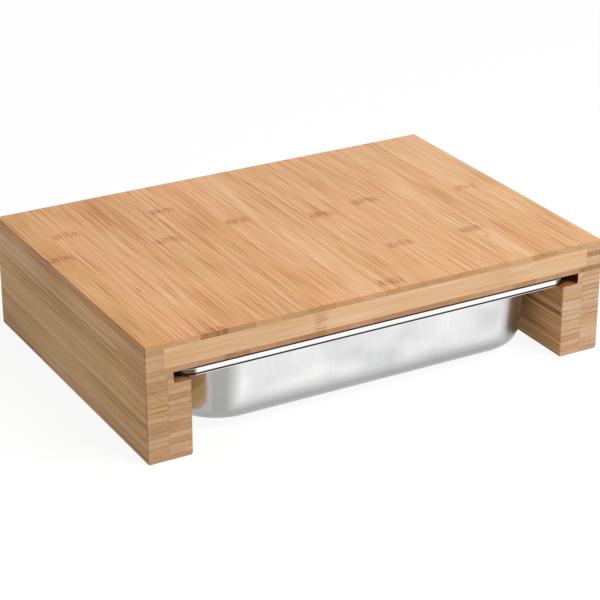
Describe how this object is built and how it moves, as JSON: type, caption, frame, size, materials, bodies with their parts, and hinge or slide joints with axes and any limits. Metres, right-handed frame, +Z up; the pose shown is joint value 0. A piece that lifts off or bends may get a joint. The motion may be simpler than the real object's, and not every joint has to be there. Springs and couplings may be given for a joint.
{
  "type": "cutting board with tray",
  "caption": "Bamboo cutting board on two side legs, with a deep stainless steel tray that hangs by its rolled rim in grooves and slides out from under the board.",
  "frame": {"origin": "on the resting surface, under the middle of the board", "axes": "+X along the board's length towards its right end, -Y towards the front long side, +Z up"},
  "size_m": [0.38, 0.265, 0.09],
  "materials": {
    "top_ply": "oiled bamboo, fine sanded",
    "core": "oiled bamboo, fine sanded",
    "lipping": "oiled bamboo, fine sanded",
    "bottom_ply": "oiled bamboo, fine sanded",
    "leg_beams": "oiled bamboo, fine sanded",
    "tray_steel": "satin brushed wall, polished rim"
  },
  "bodies": {
    "board": {"top_strip_01": "top_ply", "top_strip_02": "top_ply", "top_strip_03": "top_ply", "top_strip_04": "top_ply", "top_strip_05": "top_ply", "top_strip_06": "top_ply", "top_strip_07": "top_ply", "top_strip_08": "top_ply", "top_strip_09": "top_ply", "top_strip_10": "top_ply", "top_strip_11": "top_ply", "top_strip_12": "top_ply", "top_strip_13": "top_ply", "top_strip_14": "top_ply", "top_strip_15": "top_ply", "top_strip_16": "top_ply", "top_strip_17": "top_ply", "top_strip_18": "top_ply", "core_stave_01": "core", "core_stave_02": "core", "core_stave_03": "core", "core_stave_04": "core", "core_stave_05": "core", "core_stave_06": "core", "core_stave_07": "core", "core_stave_08": "core", "core_stave_09": "core", "core_stave_10": "core", "core_stave_11": "core", "core_stave_12": "core", "core_stave_13": "core", "bottom_strips": "bottom_ply", "left_lipping": "lipping", "right_lipping": "lipping", "left_outer_column": "leg_beams", "right_outer_column": "leg_beams", "left_inner_column": "leg_beams", "right_inner_column": "leg_beams"},
    "tray": {"tray": "tray_steel"}
  },
  "joints": [
    {"name": "tray_slide", "type": "slide", "parent": "board", "child": "tray", "axis": [0, -1, 0], "range_m": [-0.27, 0.27]}
  ]
}
